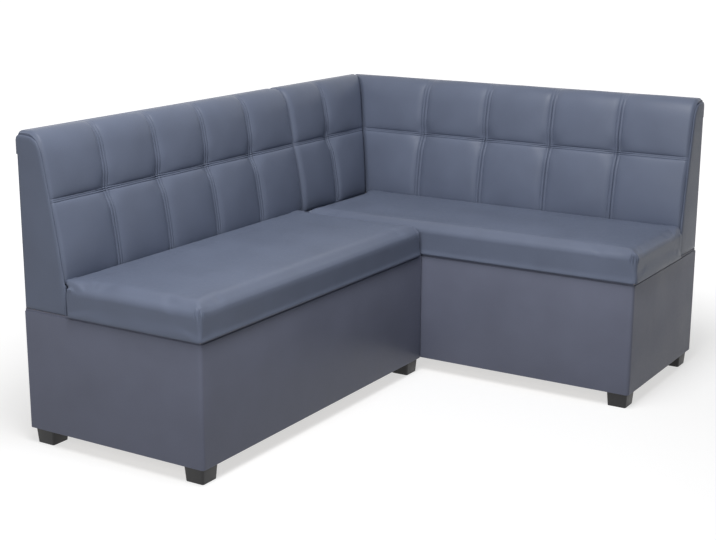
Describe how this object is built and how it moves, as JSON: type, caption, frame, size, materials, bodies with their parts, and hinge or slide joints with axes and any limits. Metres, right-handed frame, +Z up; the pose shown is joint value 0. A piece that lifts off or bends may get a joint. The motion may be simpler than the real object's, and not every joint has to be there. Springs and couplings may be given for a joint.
{
  "type": "corner storage bench",
  "caption": "L-shaped upholstered dining bench with tufted backrests, storage boxes under hinged seat lids and square plastic feet",
  "frame": {"origin": "on the floor, under the middle of the bench's bounding box", "axes": "+Z up; +X from the room's corner along the right wing to its free end; +Y towards the wall behind the right wing, so that the left wing runs along -Y"},
  "size_m": [1.329, 1.7046, 0.87],
  "materials": {
    "leatherette": "satin",
    "chipboard": "matte",
    "plywood": "matte",
    "back_lining": "matte",
    "black_plastic": "satin",
    "zinc_steel": "satin"
  },
  "bodies": {
    "bench": {"left_box_front_panel": "chipboard", "left_box_back_panel": "chipboard", "left_box_free_end_panel": "chipboard", "left_box_inner_end_panel": "chipboard", "left_box_bottom_panel": "chipboard", "left_box_seat_rail": "plywood", "left_box_cover": "leatherette", "left_foot_front_free": "black_plastic", "left_foot_front_inner": "black_plastic", "left_foot_back_free": "black_plastic", "left_foot_back_inner": "black_plastic", "joining_screw_rear": "zinc_steel", "joining_screw_front": "zinc_steel", "left_back_free_rib": "chipboard", "left_back_inner_rib": "chipboard", "left_back_top_rail": "plywood", "left_back_front_panel": "plywood", "left_back_rear_panel": "back_lining", "left_back_cushion": "leatherette", "left_back_base_board": "chipboard", "left_back_hinge_rail": "plywood", "left_back_end_cover": "leatherette", "left_hinge_first_fixed_leaf": "zinc_steel", "left_hinge_second_fixed_leaf": "zinc_steel", "right_box_front_panel": "chipboard", "right_box_back_panel": "chipboard", "right_box_corner_end_panel": "chipboard", "right_box_free_end_panel": "chipboard", "right_box_bottom_panel": "chipboard", "right_box_seat_rail": "plywood", "right_box_cover": "leatherette", "right_foot_front_corner": "black_plastic", "right_foot_front_free": "black_plastic", "right_foot_back_corner": "black_plastic", "right_foot_back_free": "black_plastic", "right_back_corner_rib": "chipboard", "right_back_free_rib": "chipboard", "right_back_top_rail": "plywood", "right_back_front_panel": "plywood", "right_back_rear_panel": "back_lining", "right_back_cushion": "leatherette", "right_back_base_board": "chipboard", "right_back_hinge_rail": "plywood", "right_back_end_cover": "leatherette", "right_hinge_first_fixed_leaf": "zinc_steel", "right_hinge_second_fixed_leaf": "zinc_steel", "corner_back_outer_rib": "chipboard", "corner_back_top_rail": "plywood", "corner_back_front_panel": "plywood", "corner_back_rear_panel": "back_lining", "corner_back_cushion": "leatherette", "corner_back_lower_rail": "plywood"},
    "left_seat": {"left_seat_base": "chipboard", "left_seat_cushion": "leatherette", "left_hinge_first_moving_leaf": "zinc_steel", "left_hinge_second_moving_leaf": "zinc_steel"},
    "right_seat": {"right_seat_base": "chipboard", "right_seat_cushion": "leatherette", "right_hinge_first_moving_leaf": "zinc_steel", "right_hinge_second_moving_leaf": "zinc_steel"}
  },
  "joints": [
    {"name": "left_seat_hinge", "type": "hinge", "parent": "bench", "child": "left_seat", "pos_m": [-0.5045, -0.286, 0.472], "axis": [0, -1, 0], "range_deg": [0, 60]},
    {"name": "right_seat_hinge", "type": "hinge", "parent": "bench", "child": "right_seat", "pos_m": [0.081, 0.6923, 0.472], "axis": [-1, 0, 0], "range_deg": [0, 60]}
  ]
}
